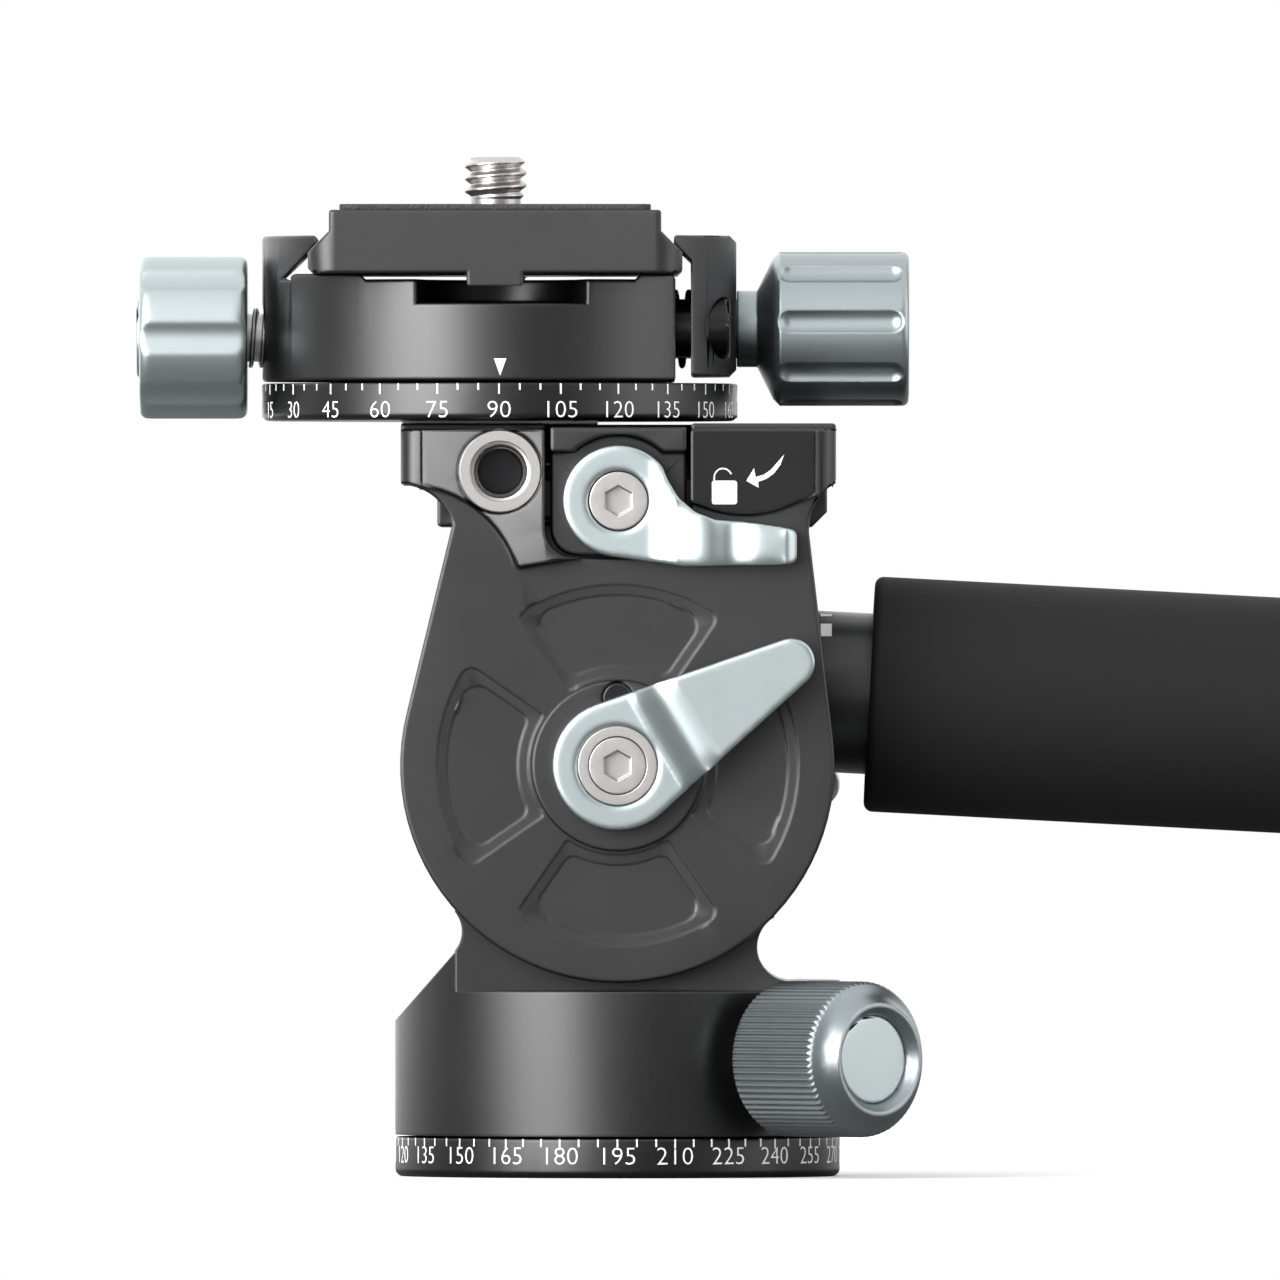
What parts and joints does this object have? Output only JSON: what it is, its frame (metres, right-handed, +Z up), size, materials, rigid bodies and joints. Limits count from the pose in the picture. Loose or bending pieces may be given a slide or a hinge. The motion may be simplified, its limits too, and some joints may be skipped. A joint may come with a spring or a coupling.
{
  "type": "fluid video head",
  "caption": "Compact fluid video head with turning base, tilting cheeks, sliding panorama clamp, quick-release plate, lock levers, knobs and a pan handle.",
  "frame": {"origin": "on the pan axis, at the mouth of the tripod thread in the base's lower face", "axes": "+X along the handle, +Z up along the pan axis, -Y towards the side with the tilt lock and slide lock levers"},
  "size_m": [0.1789, 0.0619, 0.1038],
  "materials": {
    "black_metal": "satin",
    "black_scale_ring": "satin",
    "silver_lever": "satin",
    "grey_knurl": "satin",
    "plate_metal": "satin",
    "inner_metal": "satin",
    "steel": "satin",
    "black_steel": "satin",
    "spring_steel": "polished",
    "brass": "satin",
    "slip_plastic": "matte",
    "grip_rubber": "matte",
    "pad_rubber": "matte"
  },
  "bodies": {
    "base": {"base_ring": "black_scale_ring", "tripod_insert": "steel", "pan_spindle": "inner_metal", "spindle_screws": "steel"},
    "pan_stage": {"pan_body": "black_metal", "pan_retainer_ring": "inner_metal", "pan_thrust_washers": "slip_plastic", "tilt_bushes": "brass", "damper_lid": "inner_metal", "damper_stators": "inner_metal"},
    "pan_shoe_carrier": {"pan_brake_shoe": "brass"},
    "pan_lock": {"pan_knob": "grey_knurl", "pan_lock_screw": "steel", "pan_knob_cap": "silver_lever"},
    "tilt_stage": {"front_cheek": "black_metal", "rear_cheek": "black_metal", "top_bridge": "black_metal", "handle_bracket": "black_metal", "frame_bolts": "steel", "tilt_axle": "steel", "damper_rotor": "inner_metal", "tilt_friction_washers": "slip_plastic", "hub_flanges": "black_metal", "hub_flange_screws": "black_steel", "accessory_insert": "steel"},
    "handle": {"handle_pivot": "inner_metal", "handle_tube": "black_metal", "handle_grip": "grip_rubber", "handle_end_cap": "black_metal"},
    "tilt_lock": {"tilt_lock_lever": "silver_lever", "tilt_lock_washer": "steel", "tilt_lock_screw": "steel"},
    "tilt_drag": {"tilt_drag_lever": "silver_lever", "tilt_drag_washer": "steel", "tilt_drag_screw": "steel"},
    "slide_clamp": {"slide_jaw": "black_metal"},
    "slide_lock": {"slide_lock_lever": "silver_lever", "slide_lock_screw": "steel"},
    "slide": {"slide_rail": "inner_metal", "rail_screws": "steel", "pano_ring": "black_scale_ring", "pano_drum": "inner_metal", "slide_stop_pin": "steel", "pano_bolt": "steel"},
    "pano_stage": {"clamp_body": "black_metal", "pano_knob_spring": "spring_steel", "jaw_spring": "spring_steel"},
    "pano_shoe_carrier": {"pano_brake_shoe": "brass"},
    "pano_lock": {"pano_knob": "silver_lever", "pano_lock_screw": "steel", "pano_knob_cap": "silver_lever"},
    "jaw_carrier": {"clamp_jaw": "black_metal", "guide_pins": "black_steel"},
    "jaw_drive": {"clamp_knob": "silver_lever", "clamp_screw": "steel"},
    "plate": {"quick_release_plate": "plate_metal", "plate_pad": "pad_rubber"},
    "plate_screw": {"camera_screw": "steel"}
  },
  "joints": [
    {"name": "pan", "type": "hinge", "parent": "base", "child": "pan_stage", "pos_m": [0, 0, 0.0042], "axis": [0, 0, 1], "continuous": true},
    {"name": "pan_shoe_travel", "type": "slide", "parent": "pan_stage", "child": "pan_shoe_carrier", "axis": [0.6691, -0.7431, 0], "range_m": [0, 0.0008]},
    {"name": "pan_lock_turn", "type": "hinge", "parent": "pan_shoe_carrier", "child": "pan_lock", "pos_m": [0.02007, -0.02229, 0.0121], "axis": [0.6691, -0.7431, 0], "range_deg": [-1, 361]},
    {"name": "tilt", "type": "hinge", "parent": "pan_stage", "child": "tilt_stage", "pos_m": [0, 0, 0.04185], "axis": [0, 1, 0], "range_deg": [-90, 32]},
    {"name": "handle_twist", "type": "hinge", "parent": "tilt_stage", "child": "handle", "pos_m": [0.03395, 0, 0.04867], "axis": [0.9986, 0, -0.0523], "range_deg": [0, 75]},
    {"name": "tilt_lock_turn", "type": "hinge", "parent": "tilt_stage", "child": "tilt_lock", "pos_m": [0, -0.0245, 0.04185], "axis": [0, 1, 0], "range_deg": [-75, 0]},
    {"name": "tilt_drag_turn", "type": "hinge", "parent": "tilt_stage", "child": "tilt_drag", "pos_m": [0, 0.0245, 0.04185], "axis": [0, 1, 0], "range_deg": [-60, 45]},
    {"name": "slide_clamp_travel", "type": "slide", "parent": "tilt_stage", "child": "slide_clamp", "axis": [0, -1, 0], "range_m": [0, 0.0006]},
    {"name": "slide_lock_turn", "type": "hinge", "parent": "slide_clamp", "child": "slide_lock", "pos_m": [0.0001, -0.0235, 0.0687], "axis": [0, 1, 0], "range_deg": [-1, 46]},
    {"name": "head_slide", "type": "slide", "parent": "tilt_stage", "child": "slide", "axis": [1, 0, 0], "range_m": [0, 0.024]},
    {"name": "panorama", "type": "hinge", "parent": "slide", "child": "pano_stage", "pos_m": [-0.012, 0, 0.081], "axis": [0, 0, 1], "continuous": true},
    {"name": "pano_shoe_travel", "type": "slide", "parent": "pano_stage", "child": "pano_shoe_carrier", "axis": [-1, 0, 0], "range_m": [0, 0.0008]},
    {"name": "pano_lock_turn", "type": "hinge", "parent": "pano_shoe_carrier", "child": "pano_lock", "pos_m": [-0.042, 0, 0.0854], "axis": [-1, 0, 0], "range_deg": [-1, 361]},
    {"name": "jaw_travel", "type": "slide", "parent": "pano_stage", "child": "jaw_carrier", "axis": [1, 0, 0], "range_m": [0, 0.003]},
    {"name": "clamp_knob_turn", "type": "hinge", "parent": "jaw_carrier", "child": "jaw_drive", "pos_m": [0.02, 0, 0.0863], "axis": [1, 0, 0], "range_deg": [-2, 1082]},
    {"name": "plate_slide", "type": "slide", "parent": "pano_stage", "child": "plate", "axis": [0, 1, 0], "range_m": [-0.005, 0.005]},
    {"name": "camera_screw_turn", "type": "hinge", "parent": "plate", "child": "plate_screw", "pos_m": [-0.0124, 0, 0.096], "axis": [0, 0, 1], "continuous": true}
  ],
  "couplings": [
    {"joint": "pan_lock_turn", "follows": "pan_shoe_travel", "rad_per_m": 7854},
    {"joint": "slide_lock_turn", "follows": "slide_clamp_travel", "rad_per_m": 1309},
    {"joint": "pano_lock_turn", "follows": "pano_shoe_travel", "rad_per_m": 7854},
    {"joint": "clamp_knob_turn", "follows": "jaw_travel", "rad_per_m": 6283.2}
  ]
}
